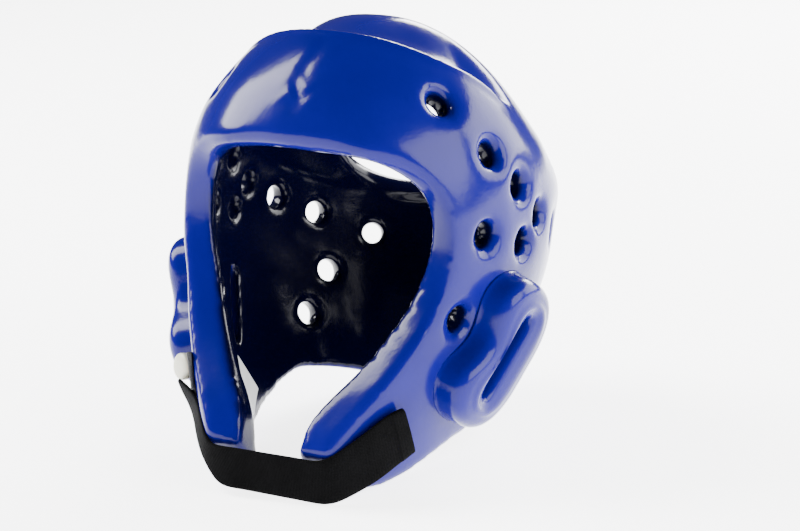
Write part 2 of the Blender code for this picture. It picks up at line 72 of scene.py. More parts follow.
# %% Camera
CAMERA_PITCH = np.radians(18.0)
CAMERA_FROM_BROW = np.array([0.5774, -1.0464, 0.2449])
CAMERA_TURN = np.radians(26.0)
CAMERA_RISE = np.radians(15.0)
CAMERA_LENS = 104.6

toward = np.array([np.sin(CAMERA_TURN) * np.cos(CAMERA_RISE),
                   -np.cos(CAMERA_TURN) * np.cos(CAMERA_RISE), np.sin(CAMERA_RISE)])
right = np.cross((0.0, 0.0, 1.0), toward)
right /= np.linalg.norm(right)
axes = np.stack([right, np.cross(toward, right), toward], 1)
extra_tip = tipping(REST_PITCH - CAMERA_PITCH)
placing = np.eye(4)
placing[:3, :3] = extra_tip @ axes
placing[:3, 3] = extra_tip @ CAMERA_FROM_BROW + BROW_AT
camera_data = bpy.data.cameras.new("camera")
camera_data.lens = CAMERA_LENS
camera_data.sensor_width = 36.0
camera = bpy.data.objects.new("camera", camera_data)
bpy.context.collection.objects.link(camera)
camera.matrix_world = Matrix(placing.tolist())
bpy.context.scene.camera = camera
print("camera at", placing[:3, 3].round(3))

# %% [markdown]
# ## The form of the foam
# Level sections are superellipses: round behind, a little squarer in front. A table gives their
# reach at each drop below the brow, and softening the table keeps the gloss free of kinks.

# %% Sizes and section table
HALF_WIDTH, FRONT_REACH, BACK_REACH = 0.1015, 0.122, 0.117
JAW_DROP, EQUATOR_DROP, WALL = 0.200, 0.015, 0.017
FRONT_POWER, BACK_POWER, CREST_BACK_POWER = 2.2, 1.88, 2.6
SECTIONS = np.array([
    (0.075, 0.995, 0.989, 1.000, 1.00, 1.10),
    (0.185, 1.000, 0.989, 0.990, 1.00, 1.20),
    (0.290, 0.980, 0.957, 0.965, 1.00, 1.40),
    (0.410, 0.920, 0.931, 0.930, 1.00, 1.50),
    (0.530, 0.845, 0.955, 0.900, 1.05, 1.60),
    (0.635, 0.785, 0.943, 0.885, 1.15, 1.70),
    (0.745, 0.719, 0.898, 0.880, 1.30, 1.80),
    (0.850, 0.650, 0.891, 0.870, 1.40, 1.80),
    (1.000, 0.545, 0.775, 0.850, 1.40, 1.80),
])
TABLE_STEP = 0.005
SOFTEN = 0.035


def softened(table, step, width):
    """The table at even steps, each column blurred with a bell curve of that width."""
    even = np.arange(table[0, 0], table[-1, 0] + step / 2, step)
    reach = int(3 * width / step)
    bell = np.exp(-0.5 * (np.arange(-reach, reach + 1) * step / width) ** 2)
    bell /= bell.sum()
    columns = [even]
    for column in table[:, 1:].T:
        line = np.interp(even, table[:, 0], column)
        padded = np.pad(line, reach, mode="reflect", reflect_type="odd")
        columns.append(np.convolve(padded, bell, mode="valid"))
    return np.stack(columns, 1)


FINE_SECTIONS = softened(SECTIONS, TABLE_STEP, SOFTEN)
print("section rows", len(SECTIONS), "softened to", len(FINE_SECTIONS))


# %% Points of a section
def signed_power(value, power):
    """sign(v) times |v| to a power."""
    return np.sign(value) * np.abs(value) ** power


def section_sizes(height, walls=0.0, lift=0.0):
    """Half width, front reach and back reach at a height, less so many walls of foam."""
    drop = -np.asarray(height, float) / JAW_DROP
    width, front, back, side_foam, front_foam = (
        np.interp(drop, FINE_SECTIONS[:, 0], column) for column in FINE_SECTIONS[:, 1:].T)
    depth = walls * WALL
    return (HALF_WIDTH * width - depth * side_foam - lift,
            FRONT_REACH * front - depth * front_foam - lift,
            BACK_REACH * back - depth - lift)


def section_point(turn, height, walls=0.0, lift=0.0):
    """x = w sin(t)^(2/p), y = F - r cos(t)^(2/p): a superellipse round the head's axis."""
    width, front, back = section_sizes(height, walls, lift)
    ahead = np.cos(turn)
    power = 2.0 / np.where(ahead > 0, FRONT_POWER, BACK_POWER)
    x = width * signed_power(np.sin(turn), power)
    y = FRONT_REACH - np.where(ahead > 0, front, back) * signed_power(ahead, power)
    return np.stack(np.broadcast_arrays(x, y, height), -1)


# %% [markdown]
# The dome rises from the widest section to the crest, which is the edge of the crown opening:
# a saddle-shaped loop, high in front and low behind. Each column of the dome is part of a
# superellipse between its two ends.

# %% Crest and dome
CREST_FRONT_SETBACK, CREST_FRONT_RISE = 0.096, 0.0765
CREST_BACK_INSET, CREST_BACK_DROP = 0.009, 0.010
CREST_HALF_WIDTH, CREST_SIDE_DROOP, CREST_ROUND = 0.0715, 0.0095, 0.007
DOME_POWER = softened(np.array([(0.0, 2.1), (60.0, 1.95), (85.0, 2.0), (115.0, 3.0),
                                (180.0, 2.3)]), 1.0, 7.0)
RIM_TILT = (72.0, 42.0, 20.0)


def blend(turn, values):
    """side + (front or back - side) cos(t)^2."""
    front, side, back = values
    ahead = np.cos(turn)
    return side + (np.where(ahead > 0, front, back) - side) * ahead ** 2


def crest_point(turn):
    """Crest loop: a superellipse from above, falling from front to back and at the sides."""
    power = 2.0 / np.where(np.cos(turn) > 0, FRONT_POWER, CREST_BACK_POWER)
    share = 0.5 - 0.5 * signed_power(np.cos(turn), power)
    side = signed_power(np.sin(turn), power)
    back = FRONT_REACH + BACK_REACH - CREST_BACK_INSET
    y = CREST_FRONT_SETBACK + (back - CREST_FRONT_SETBACK) * share
    z = CREST_FRONT_RISE - (CREST_FRONT_RISE + CREST_BACK_DROP) * share
    return np.stack([CREST_HALF_WIDTH * side, y, z - CREST_SIDE_DROOP * side ** 2], -1)


def crest_axes(turn):
    """Unit vectors across the wall and out of the rim: the loop's flat normal, tilted."""
    step = 1e-4
    along = crest_point(turn + step) - crest_point(turn - step)
    flat = np.stack([along[..., 1], -along[..., 0], 0 * turn], -1)
    flat /= np.linalg.norm(flat, axis=-1, keepdims=True)
    tilt = np.radians(blend(turn, RIM_TILT))[..., None]
    up = np.array([0.0, 0.0, 1.0])
    return flat * np.cos(tilt) + up * np.sin(tilt), up * np.cos(tilt) - flat * np.sin(tilt)


def dome_point(turn, share, walls=0.0):
    """high + (low - high) (cos(a)^q, cos(a)^q, 1 - sin(a)^q), a from 0 to a quarter turn."""
    low = section_point(turn, -EQUATOR_DROP + 0 * turn, walls)
    across, _ = crest_axes(turn)
    high = crest_point(turn) - walls * WALL * across
    power = (2.0 / np.interp(np.degrees(np.abs(turn)), *DOME_POWER.T))[..., None]
    arc = np.clip(np.asarray(share) * np.pi / 2, 1e-9, np.pi / 2 - 1e-9)[..., None]
    mix = np.concatenate([np.cos(arc) ** power] * 2 + [1 - np.sin(arc) ** power], -1)
    return high + (low - high) * mix


def outer_point(turn, rise):
    """Outer surface: the dome where rise is above 0, the sections where it is below."""
    turn = np.asarray(turn, float)
    rise = np.asarray(rise, float) + 0 * turn
    lower = section_point(turn, JAW_DROP * np.minimum(rise, -EQUATOR_DROP / JAW_DROP))
    return np.where((rise > 0)[..., None], dome_point(turn, np.maximum(rise, 0)), lower)


def outer_normal(turn, rise):
    """Unit cross product of the outer surface's two slopes."""
    step = 1e-3
    along = outer_point(turn + step, rise) - outer_point(turn - step, rise)
    up = outer_point(turn, rise + step) - outer_point(turn, rise - step)
    normal = np.cross(along, up)
    return normal / np.linalg.norm(normal, axis=-1, keepdims=True)


def on_shell(turn_degrees, rise, lift):
    """Outer point plus a lift along the normal."""
    turn = np.radians(np.asarray(turn_degrees, float))
    rise = np.asarray(rise, float)
    return outer_point(turn, rise) + outer_normal(turn, rise) * np.asarray(lift)[..., None]


# %% Meshes from arrays
def grid_faces(rows, columns, close_rows=False):
    """Quads of a grid whose columns close on themselves, and its rows if asked."""
    r = np.arange(rows if close_rows else rows - 1)[:, None]
    c = np.arange(columns)[None, :]
    here, there = r * columns, ((r + 1) % rows) * columns
    after = (c + 1) % columns
    return np.stack([here + c, here + after, there + after, there + c], -1).reshape(-1, 4)


def new_mesh(name, points, faces, caps=()):
    """A mesh object in the headgear's own axes, from point and face arrays and end caps."""
    mesh = bpy.data.meshes.new(name)
    mesh.from_pydata(points.reshape(-1, 3).tolist(), [], faces.tolist() + [list(c) for c in caps])
    mesh.update()
    made = bpy.data.objects.new(name, mesh)
    bpy.context.collection.objects.link(made)
    return made


def point_outwards(made):
    """Turn the whole surface over if its volume is negative."""
    mesh = made.data
    mesh.calc_loop_triangles()
    at = np.empty(3 * len(mesh.vertices))
    mesh.vertices.foreach_get("co", at)
    corner = np.empty(3 * len(mesh.loop_triangles), int)
    mesh.loop_triangles.foreach_get("vertices", corner)
    a, b, c = at.reshape(-1, 3)[corner].reshape(-1, 3, 3).transpose(1, 0, 2)
    if np.einsum("ij,ij->", a, np.cross(b, c)) < 0:
        mesh.flip_normals()
    return made


def read_points(mesh):
    """Corners and normals of a mesh as arrays."""
    at, normal = np.empty(3 * len(mesh.vertices)), np.empty(3 * len(mesh.vertices))
    mesh.vertices.foreach_get("co", at)
    mesh.vertex_normals.foreach_get("vector", normal)
    return at.reshape(-1, 3), normal.reshape(-1, 3)


def write_points(mesh, points):
    """Put an array of corners into a mesh."""
    mesh.vertices.foreach_set("co", points.ravel())
    mesh.update()


def finish_piece(made, look, slot, *nodes):
    """Lay a piece down, give it its look and let it stand for its nodes."""
    at, _ = read_points(made.data)
    write_points(made.data, laid_down(at))
    made.data.shade_smooth()
    made.data.materials.clear()
    made.data.materials.append(look)
    if nodes:
        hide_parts(*nodes)
    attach(made, "root")
    print(made.name, len(made.data.polygons), "faces")
    return made


# %% [markdown]
# ## Effects that several materials share
# A node group is built once and used with different values. The first gives the skin of dipped
# vinyl: slow swells from the foam below and a fine peel. The second gives a woven rib.

# %% Node group helpers
def new_group(name, inputs, outputs):
    """An empty shader group: inputs as (name, kind, value), outputs as (name, kind)."""
    group = bpy.data.node_groups.new(name, "ShaderNodeTree")
    for label, kind, value in inputs:
        made = group.interface.new_socket(label, in_out="INPUT", socket_type="NodeSocket" + kind)
        made.default_value = value
    for label, kind in outputs:
        group.interface.new_socket(label, in_out="OUTPUT", socket_type="NodeSocket" + kind)
    return group, group.nodes.new("NodeGroupInput"), group.nodes.new("NodeGroupOutput")


def node(tree, kind, links=(), **settings):
    """A node with its settings, and its inputs linked from sockets or set to values."""
    made = tree.nodes.new("ShaderNode" + kind)
    for label, value in settings.items():
        setattr(made, label, value)
    for label, value in dict(links).items():
        if isinstance(value, bpy.types.NodeSocket):
            tree.links.new(value, made.inputs[label])
        else:
            made.inputs[label].default_value = value
    return made


def maths(tree, operation, *values):
    """A Math node's result."""
    return node(tree, "Math", enumerate(values), operation=operation).outputs[0]


# %% Group: dipped skin
def build_dipped_skin():
    """Swell and peel noises as one height, and a faint change of roughness."""
    group, inside, outside = new_group(
        "dipped_skin",
        [("Swell", "Float", 0.4), ("Peel", "Float", 0.1), ("Roughness", "Float", 0.2)],
        [("Height", "Float"), ("Roughness", "Float"), ("Shade", "Float")])
    place = node(group, "TexCoord").outputs["Object"]
    swell = node(group, "TexNoise", {"Vector": place, "Scale": 55.0, "Detail": 2.0,
                                     "Roughness": 0.45}).outputs[0]
    peel = node(group, "TexNoise", {"Vector": place, "Scale": 480.0, "Detail": 2.0}).outputs[0]
    speck = node(group, "TexVoronoi", {"Vector": place, "Scale": 190.0}).outputs["Distance"]
    speck = maths(group, "SMOOTH_MIN", speck, 0.10, 0.05)
    height = maths(group, "ADD", maths(group, "MULTIPLY", swell, inside.outputs["Swell"]),
                   maths(group, "MULTIPLY", peel, inside.outputs["Peel"]))
    height = maths(group, "SUBTRACT", height, maths(group, "MULTIPLY", speck, 0.05))
    cloud = node(group, "TexNoise", {"Vector": place, "Scale": 18.0, "Detail": 3.0}).outputs[0]
    rough = maths(group, "MULTIPLY_ADD", maths(group, "SUBTRACT", cloud, 0.5), 0.12,
                  inside.outputs["Roughness"])
    group.links.new(height, outside.inputs["Height"])
    group.links.new(rough, outside.inputs["Roughness"])
    group.links.new(cloud, outside.inputs["Shade"])
    return group


DIPPED_SKIN = build_dipped_skin()


# %% Group: woven rib
def build_woven_rib():
    """Ribs across the tape times finer threads along it, from the piece's own map in metres."""
    group, inside, outside = new_group(
        "woven_rib",
        [("Rib pitch", "Float", 0.0016), ("Thread pitch", "Float", 0.0008)],
        [("Height", "Float"), ("Shade", "Float")])
    place = node(group, "UVMap", uv_map="tape").outputs[0]
    parts = node(group, "SeparateXYZ", {"Vector": place}).outputs
    rib = maths(group, "SINE", maths(group, "DIVIDE", maths(
        group, "MULTIPLY", parts["X"], 2 * np.pi), inside.outputs["Rib pitch"]))
    thread = maths(group, "SINE", maths(group, "DIVIDE", maths(
        group, "MULTIPLY", parts["Y"], 2 * np.pi), inside.outputs["Thread pitch"]))
    fuzz = node(group, "TexNoise", {"Vector": place, "Scale": 900.0, "Detail": 3.0}).outputs[0]
    woven = maths(group, "ADD", maths(group, "MULTIPLY", rib, thread), maths(
        group, "MULTIPLY", rib, 0.6))
    height = maths(group, "MULTIPLY_ADD", fuzz, 0.8, maths(group, "MULTIPLY", woven, 0.5))
    patchy = node(group, "TexNoise", {"Vector": place, "Scale": 60.0, "Detail": 4.0}).outputs[0]
    shade = maths(group, "MULTIPLY_ADD", height, 0.25, maths(group, "MULTIPLY", patchy, 0.9))
    group.links.new(height, outside.inputs["Height"])
    group.links.new(shade, outside.inputs["Shade"])
    return group


WOVEN_RIB = build_woven_rib()


# %% Materials
def new_material(name, **sockets):
    """A material with its Principled shader's own sockets set."""
    made = bpy.data.materials.new(name)
    made.use_nodes = True
    shader = made.node_tree.nodes["Principled BSDF"]
    for label, value in sockets.items():
        shader.inputs[label.replace("_", " ")].default_value = value
    return made, made.node_tree, shader


def use_group(tree, group, **values):
    """A group node with its values set."""
    made = tree.nodes.new("ShaderNodeGroup")
    made.node_tree = group
    for label, value in values.items():
        made.inputs[label.replace("_", " ")].default_value = value
    return made.outputs


def bump(tree, shader, height, distance, strength=1.0):
    """A Bump node from a height in metres to the shader's normal."""
    made = node(tree, "Bump", {"Height": height, "Distance": distance, "Strength": strength})
    tree.links.new(made.outputs[0], shader.inputs["Normal"])


def two_tone(tree, shader, mask, dark, light):
    """Base colour between a darker and a lighter tone."""
    ramp = node(tree, "ValToRGB", {"Fac": mask})
    ramp.color_ramp.elements[0].color = (*dark, 1.0)
    ramp.color_ramp.elements[1].color = (*light, 1.0)
    ramp.color_ramp.elements[0].position = 0.3
    ramp.color_ramp.elements[1].position = 0.7
    tree.links.new(ramp.outputs[0], shader.inputs["Base Color"])
    return ramp.outputs[0]


def dipped_vinyl():
    """Glossy blue skin over soft foam, with painted shade: near black inside the shell and down the
    vents.
    """
    made, tree, shader = new_material("dipped_vinyl", IOR=1.5, Specular_IOR_Level=0.17)
    skin = use_group(tree, DIPPED_SKIN, Swell=0.18, Peel=0.03, Roughness=0.17)
    tone = two_tone(tree, shader, skin["Shade"], (0.0034, 0.0016, 0.096), (0.0042, 0.0020, 0.122))
    # Painted shade: the shell's attribute turns the base colour near black on inner surfaces and down
    # the vents, standing in for the shadow there; the real skin is the same blue.
    painted_shade = node(tree, "Attribute", attribute_name="painted_shade").outputs["Fac"]
    painted_shade_tone = node(tree, "MixRGB", {"Fac": painted_shade, "Color1": tone, "Color2": (0.0002, 0.0003, 0.010, 1)})
    tree.links.new(painted_shade_tone.outputs[0], shader.inputs["Base Color"])
    tree.links.new(skin["Roughness"], shader.inputs["Roughness"])
    bump(tree, shader, skin["Height"], 0.0016)
    return made


def black_elastic():
    """Matt black woven elastic."""
    made, tree, shader = new_material("black_elastic", Roughness=0.85, Specular_IOR_Level=0.04)
    rib = use_group(tree, WOVEN_RIB, Rib_pitch=0.0016, Thread_pitch=0.0009)
    two_tone(tree, shader, rib["Shade"], (0.0001, 0.0001, 0.0002), (0.0014, 0.0014, 0.0017))
    bump(tree, shader, rib["Height"], 0.0003)
    return made


def grey_fabric():
    """Brushed dark grey fabric."""
    made, tree, shader = new_material("grey_fabric", Roughness=0.95, Sheen_Weight=0.1,
                                      Sheen_Roughness=0.4)
    place = node(tree, "TexCoord").outputs["Object"]
    nap = node(tree, "TexNoise", {"Vector": place, "Scale": 1400.0, "Detail": 4.0}).outputs[0]
    two_tone(tree, shader, nap, (0.004, 0.004, 0.005), (0.05, 0.05, 0.053))
    bump(tree, shader, nap, 0.0006)
    return made


def cream_plastic():
    """Satin cream plastic, a little mottled."""
    made, tree, shader = new_material("cream_plastic", Subsurface_Weight=0.1)
    skin = use_group(tree, DIPPED_SKIN, Swell=0.2, Peel=0.1, Roughness=0.34)
    two_tone(tree, shader, skin["Shade"], (0.40, 0.40, 0.32), (0.50, 0.49, 0.40))
    tree.links.new(skin["Roughness"], shader.inputs["Roughness"])
    bump(tree, shader, skin["Height"], 0.0004)
    return made


def label_cloth():
    """Thin pale woven label, left bare."""
    made, tree, shader = new_material("label_cloth", Roughness=0.6)
    rib = use_group(tree, WOVEN_RIB, Rib_pitch=0.0006, Thread_pitch=0.0006)
    two_tone(tree, shader, rib["Shade"], (0.60, 0.61, 0.61), (0.76, 0.77, 0.77))
    bump(tree, shader, rib["Height"], 0.0001)
    return made


VINYL, ELASTIC, FABRIC = dipped_vinyl(), black_elastic(), grey_fabric()
CREAM, LABEL = cream_plastic(), label_cloth()
print("materials", [m.name for m in (VINYL, ELASTIC, FABRIC, CREAM, LABEL)])

# %% [markdown]
# ## The shell
# Foam is cut and then dipped, so no edge on it is sharp. The same order works here: a closed
# blank from the formulas above, cutters for each opening, then a fine even mesh that is relaxed
# until every rim is round, as the vinyl makes it. Relief is added last, point by point.

# %% Blank
SHELL_COLUMNS, LOWER_ROWS, DOME_ROWS, RIM_ANGLES = 240, 56, 34, 9


def shell_blank():
    """Up outside, over the rim on a half ellipse and down inside, as one closed tube."""
    turn = np.linspace(-np.pi, np.pi, SHELL_COLUMNS, endpoint=False)
    drops = np.linspace(SECTIONS[-1, 0], SECTIONS[0, 0], LOWER_ROWS)
    shares = np.linspace(0, 1, DOME_ROWS + 1)[1:]
    rows = [section_point(turn, -JAW_DROP * d) for d in drops]
    rows += [dome_point(turn, s + 0 * turn) for s in shares]
    across, out = crest_axes(turn)
    middle = crest_point(turn) - 0.5 * WALL * across
    for angle in np.linspace(0, np.pi, RIM_ANGLES)[1:-1]:
        rows.append(middle + 0.5 * WALL * np.cos(angle) * across
                    + CREST_ROUND * np.sin(angle) * out)
    rows += [dome_point(turn, s + 0 * turn, 1.0) for s in shares[::-1]]
    rows += [section_point(turn, -JAW_DROP * d, 1.0) for d in drops[::-1]]
    return np.concatenate(rows), grid_faces(len(rows), SHELL_COLUMNS, True)


# %% Cutter of the face opening
FACE_HALF_WIDTH, FACE_EDGE_HALF_WIDTH, LIP_SETBACK = 0.084, 0.067, 0.055
FACE_REFINE, CUTTER_REACH, CUTTER_MARGIN = 8, 0.060, 0.002
FACE_ROWS = np.array([
    (0.000, 0.000, -0.049, 0.000, 0.10),
    (-0.001, 0.420, -0.051, 0.490, 0.16),
    (-0.020, 0.690, -0.057, 0.735, 0.24),
    (-0.073, 0.857, -0.093, 0.915, 0.67),
    (-0.120, 0.950, -0.140, 0.978, 0.84),
    (-0.200, 1.000, -0.200, 1.007, 0.93),
    (-0.290, 1.000, -0.290, 1.000, 1.00),
    (-0.410, 0.940, -0.395, 0.890, 1.06),
    (-0.530, 0.833, -0.515, 0.746, 0.95),
    (-0.635, 0.726, -0.640, 0.537, 0.75),
    (-0.745, 0.571, -0.730, 0.328, 0.61),
    (-0.850, 0.381, -0.810, 0.254, 0.53),
    (-1.060, 0.357, -1.060, 0.239, 0.53),
])


def smooth_rows(rows, refine):
    """More rows along a Catmull-Rom curve through a table's own rows."""
    rows = np.asarray(rows, float)
    padded = np.concatenate([2 * rows[:1] - rows[1:2], rows, 2 * rows[-1:] - rows[-2:-1]])
    share = np.linspace(0, 1, refine, endpoint=False)[None, :, None]
    before, start, end, after = (padded[i:i + len(rows) - 1, None] for i in range(4))
    curve = start + 0.5 * share * (end - before + share * (
        2 * before - 5 * start + 4 * end - after + share * (3 * (start - end) + after - before)))
    return np.concatenate([curve.reshape(-1, rows.shape[1]), rows[-1:]])


def eased(line, width):
    """A line's points blurred along it with a bell curve some points wide, its ends kept."""
    reach = int(3 * width)
    bell = np.exp(-0.5 * (np.arange(-reach, reach + 1) / width) ** 2)
    padded = np.pad(line, ((reach, reach), (0, 0)), mode="reflect", reflect_type="odd")
    return np.stack([np.convolve(c, bell / bell.sum(), mode="valid") for c in padded.T], 1)


FACE_EASE = 5.0
FINE_FACE_ROWS = eased(smooth_rows(FACE_ROWS, FACE_REFINE), FACE_EASE)


def front_setback(half_width, height):
    """y of the outer surface in front: F - r (1 - (x/w)^p)^(1/p)."""
    width, front, _ = section_sizes(np.minimum(height, -EQUATOR_DROP))
    share = np.clip(np.abs(half_width) / width, 0, 0.999)
    return FRONT_REACH - front * (1 - share ** FRONT_POWER) ** (1 / FRONT_POWER)


def face_cutter():
    """Rings of the opening's outline: ahead, on the surface, at the lip's edge and inside."""
    rows = FINE_FACE_ROWS
    outer_x, outer_z = FACE_HALF_WIDTH * rows[:, 1], JAW_DROP * rows[:, 0]
    edge_x, edge_z = FACE_EDGE_HALF_WIDTH * rows[:, 3], JAW_DROP * rows[:, 2]
    level = np.ones(len(rows))
    rings = ((outer_x, -CUTTER_REACH * level, outer_z),
             (outer_x, front_setback(outer_x, outer_z) - CUTTER_MARGIN, outer_z),
             (edge_x, LIP_SETBACK * rows[:, 4], edge_z),
             (edge_x, (LIP_SETBACK + 0.4 * FRONT_REACH) * level, edge_z))
    loops = []
    for x, y, z in rings:
        left = np.stack([x, y, z], -1)
        loops.append(np.concatenate([left[:0:-1] * (-1, 1, 1), left]))
    count = len(loops[0])
    ends = [range(count), range((len(rings) - 1) * count, len(rings) * count)]
    return np.concatenate(loops), grid_faces(len(rings), count), ends


# %% Cutter of the lower rim
RIM_REFINE = 6
RIM_ROWS = np.array([
    (-0.10, -0.800), (0.10, -0.835), (0.21, -0.920), (0.315, -0.888), (0.40, -0.815),
    (0.47, -0.765), (0.54, -0.722), (0.61, -0.678), (0.70, -0.635), (0.87, -0.632),
    (0.945, -0.660), (1.10, -0.700),
])


def rim_cutter():
    """The lower rim's side outline, drawn across the whole width and closed far below."""
    outline = smooth_rows(RIM_ROWS, RIM_REFINE) * (FRONT_REACH + BACK_REACH, JAW_DROP)
    low = -JAW_DROP - CUTTER_REACH
    outline = np.concatenate([outline, [(outline[-1, 0], low), (outline[0, 0], low)]])
    reach = HALF_WIDTH + CUTTER_REACH
    sides = [np.insert(outline, 0, x, axis=1) for x in (-reach, reach)]
    count = len(outline)
    return np.concatenate(sides), grid_faces(2, count), [range(count), range(count, 2 * count)]


# %% [markdown]
# Each vent is a punched hole whose mouth the dip has drawn into a funnel. Its cutter is turned
# on a short profile: wide above the surface, narrow through the wall and a little wider inside.

# %% Cutters of the vents
VENT_SIDES, VENT_MOUTH = 28, 0.0102
VENT_PROFILE = np.array([(1.0, 1.25), (0.15, 1.05), (0.0, 1.0), (-0.10, 0.84), (-0.22, 0.74),
                         (-0.40, 0.68), (-0.80, 0.66), (-1.0, 0.70), (-1.8, 0.80)])
VENT_ROWS = np.array([
    (42.5, 0.360), (64.0, 0.194), (78.5, 0.052), (90.0, -0.118), (108.5, -0.145),
    (126.5, -0.174), (149.0, -0.214), (67.0, -0.208), (84.0, -0.206), (133.5, -0.352),
    (124.0, -0.493), (66.0, -0.443),
])


def vent_frames():
    """Mouth point and outward axis of every vent, the same on both sides."""
    turn = np.radians(np.concatenate([VENT_ROWS[:, 0], -VENT_ROWS[:, 0]]))
    rise = np.concatenate([VENT_ROWS[:, 1]] * 2)
    return outer_point(turn, rise), outer_normal(turn, rise)


def side_axes(axis):
    """Two unit vectors square to an axis and to each other."""
    side = np.cross(axis, (0.0, 0.0, 1.0))
    side /= np.linalg.norm(side, axis=-1, keepdims=True)
    return side, np.cross(side, axis)


def vent_cutters():
    """mouth + depth axis + radius (cos a side + sin a up), for every vent at once."""
    mouth, axis = vent_frames()
    side, up = side_axes(axis)
    angle = np.linspace(0, 2 * np.pi, VENT_SIDES, endpoint=False)
    ring = (np.cos(angle)[:, None] * side[:, None, None]
            + np.sin(angle)[:, None] * up[:, None, None])
    depth, radius = WALL * VENT_PROFILE[:, 0], VENT_MOUTH * VENT_PROFILE[:, 1]
    points = (mouth[:, None, None] + depth[:, None, None] * axis[:, None, None]
              + radius[:, None, None] * ring)
    size = len(VENT_PROFILE) * VENT_SIDES
    starts = np.arange(len(mouth))[:, None, None] * size
    faces = (grid_faces(len(VENT_PROFILE), VENT_SIDES)[None] + starts).reshape(-1, 4)
    ends = [range(s, s + VENT_SIDES) for s in starts.ravel()]
    ends += [range(s + size - VENT_SIDES, s + size) for s in starts.ravel()]
    return points.reshape(-1, 3), faces, ends


# %% Where the ear pads sit
PAD_HEIGHT, PAD_WIDTH, PAD_RISE = 0.088, 0.066, 0.017
PAD_DROP, PAD_TURN, PAD_LEAN = 0.100, 81.0, 16.0
PAD_FRONT_WAIST, PAD_BACK_WAIST, PAD_WAIST_REACH, PAD_SQUARENESS = 0.014, 0.002, 0.019, 0.85
SLOT_LENGTH, SLOT_WIDTH = 0.050, 0.010


def pad_frame(side):
    """Middle of a pad on the shell, with its back, up and out directions."""
    turn = np.radians(side * PAD_TURN)
    middle, out = outer_point(turn, -PAD_DROP / JAW_DROP), outer_normal(turn, -PAD_DROP / JAW_DROP)
    up = np.array([0.0, 0.0, 1.0]) - out[2] * out
    up /= np.linalg.norm(up)
    back = np.cross(up, out) * side
    lean = np.radians(PAD_LEAN)
    return (middle, back * np.cos(lean) - up * np.sin(lean),
            up * np.cos(lean) + back * np.sin(lean), out)


def slot_outline(angle, grow):
    """A stadium: sin(a) across, cos(a) plus a steep step along."""
    radius = 0.5 * SLOT_WIDTH + grow
    straight = 0.5 * (SLOT_LENGTH - SLOT_WIDTH)
    return radius * np.sin(angle), radius * np.cos(angle) + straight * np.tanh(3 * np.cos(angle))


def slot_cutter(side, sides=40):
    """The slot's outline carried from outside the shell to inside it."""
    middle, back, up, out = pad_frame(side)
    across, along = slot_outline(np.linspace(0, 2 * np.pi, sides, endpoint=False), -0.0005)
    flat = middle + across[:, None] * back + along[:, None] * up
    return (np.concatenate([flat - 2 * WALL * out, flat + WALL * out]), grid_faces(2, sides),
            [range(sides), range(sides, 2 * sides)])


# %% Cut the blank, even out the mesh and relax it
VOXEL, RELAX_STEPS, SETTLE_STEPS, GRID_TURN = 0.00192, 21, 2, np.radians(50.0)
shell = new_mesh("foam_shell", *shell_blank())
point_outwards(shell)
cutters = []
for name, body in (("cut_face", face_cutter()), ("cut_rim", rim_cutter()),
                   ("cut_vents", vent_cutters()),
                   ("cut_slot_left", slot_cutter(1)), ("cut_slot_right", slot_cutter(-1))):
    cutter = new_mesh(name, *body)
    cutters.append(cutter)
    boolean = shell.modifiers.new(name, "BOOLEAN")
    boolean.operation, boolean.solver, boolean.object = "DIFFERENCE", "EXACT", cutter


def baked(made):
    """Replace a piece's mesh by what its modifiers make of it."""
    graph = bpy.context.evaluated_depsgraph_get()
    mesh = bpy.data.meshes.new_from_object(made.evaluated_get(graph))
    made.modifiers.clear()
    made.data = mesh
    return made


def outward(made):
    """Make a closed mesh's faces agree and point out."""
    work = bmesh.new()
    work.from_mesh(made.data)
    bmesh.ops.recalc_face_normals(work, faces=work.faces)
    work.to_mesh(made.data)
    work.free()


for cutter in cutters:
    outward(cutter)
baked(shell)
for cutter in cutters:
    bpy.data.objects.remove(cutter, do_unlink=True)

# The even mesh is made on a turned grid, so that no edge runs along the grid in long steps
grid_turn = np.array(Matrix.Rotation(GRID_TURN, 3, (1.0, 1.0, 1.0)))
write_points(shell.data, read_points(shell.data)[0] @ grid_turn.T)
remesh = shell.modifiers.new("even", "REMESH")
remesh.mode, remesh.voxel_size = "VOXEL", VOXEL
relax = shell.modifiers.new("relax", "SMOOTH")
relax.factor, relax.iterations = 0.5, RELAX_STEPS
baked(shell)
write_points(shell.data, read_points(shell.data)[0] @ grid_turn)
print("shell mesh", len(shell.data.vertices), "corners")

# %% [markdown]
# ### Relief of the shell
# The forehead band ends in a ridge, and behind it the foam drops into a valley before it climbs
# to the crest. The dip has left a puckered seam down the middle of the band and small nicks
# along the left bar. Each is a height field on the outer surface, added along the normals.

# %% Relief
BAND_EDGE = softened(np.array([(0.0, 33.2), (10.0, 33.6), (20.0, 33.3), (30.0, 32.0),
                               (40.0, 30.0), (50.0, 28.6), (60.0, 26.8), (66.0, 23.8),
                               (72.0, 20.5), (90.0, 14.0)]), 1.0, 3.0)
BAND_STEP, BAND_BEAD, STEP_RUN = 0.0085, 0.0010, 0.0045
STEP_FADE, CLIMB, LEAST_SPAN = (58.0, 80.0), (0.25, 0.95), 0.012
BEAD_SETBACK, BEAD_WIDTH = 0.0015, 0.0028


def smoothstep(value, low, high):
    """3t^2 - 2t^3 between two limits."""
    t = np.clip((value - low) / (high - low), 0, 1)
    return t * t * (3 - 2 * t)


def polar(points):
    """Angle round the head's axis from the front, angle above the brow, and distance."""
    ahead = FRONT_REACH - points[:, 1]
    level = np.hypot(points[:, 0], ahead)
    return (np.degrees(np.arctan2(points[:, 0], ahead)),
            np.degrees(np.arctan2(points[:, 2], level)), np.hypot(level, points[:, 2]))


# The second limits give the inner-facing surfaces that take painted shade.
OUTSIDE_LIMITS, PAINTED_SHADE_LIMITS = (0.15, 0.55), (-0.30, 0.45)


